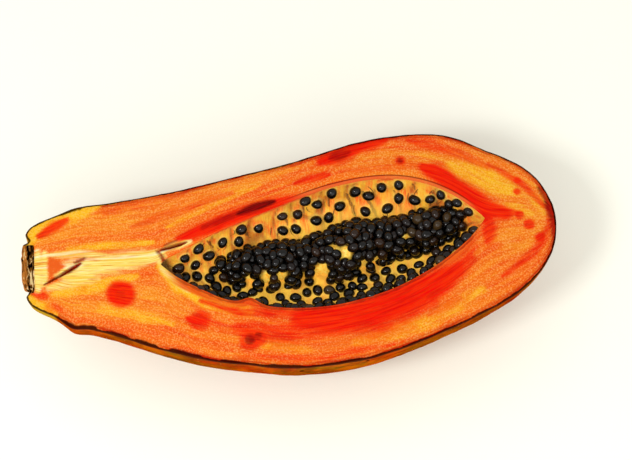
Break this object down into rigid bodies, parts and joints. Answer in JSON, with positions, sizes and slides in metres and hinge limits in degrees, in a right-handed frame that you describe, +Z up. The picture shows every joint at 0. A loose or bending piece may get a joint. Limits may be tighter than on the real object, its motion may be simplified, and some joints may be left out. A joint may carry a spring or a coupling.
{
  "type": "papaya half",
  "caption": "Long ripe papaya cut lengthwise, lying on its back with the knife cut up: orange flesh, thin mottled skin, a corky stem scar, and an open cavity with a heap of dark seeds.",
  "frame": {"origin": "on the table, under the middle of the fruit's bounding box", "axes": "+X runs along the fruit from the stem scar to the blossom end, +Y to the far side of the picture's view, +Z up out of the knife cut"},
  "size_m": [0.29, 0.1322, 0.0596],
  "materials": {
    "flesh": "moist ripe fruit flesh inside a thin waxy skin",
    "seed": "wet glossy seed"
  },
  "bodies": {
    "root": {"flesh": "flesh", "seed_heap": "seed"}
  },
  "joints": []
}
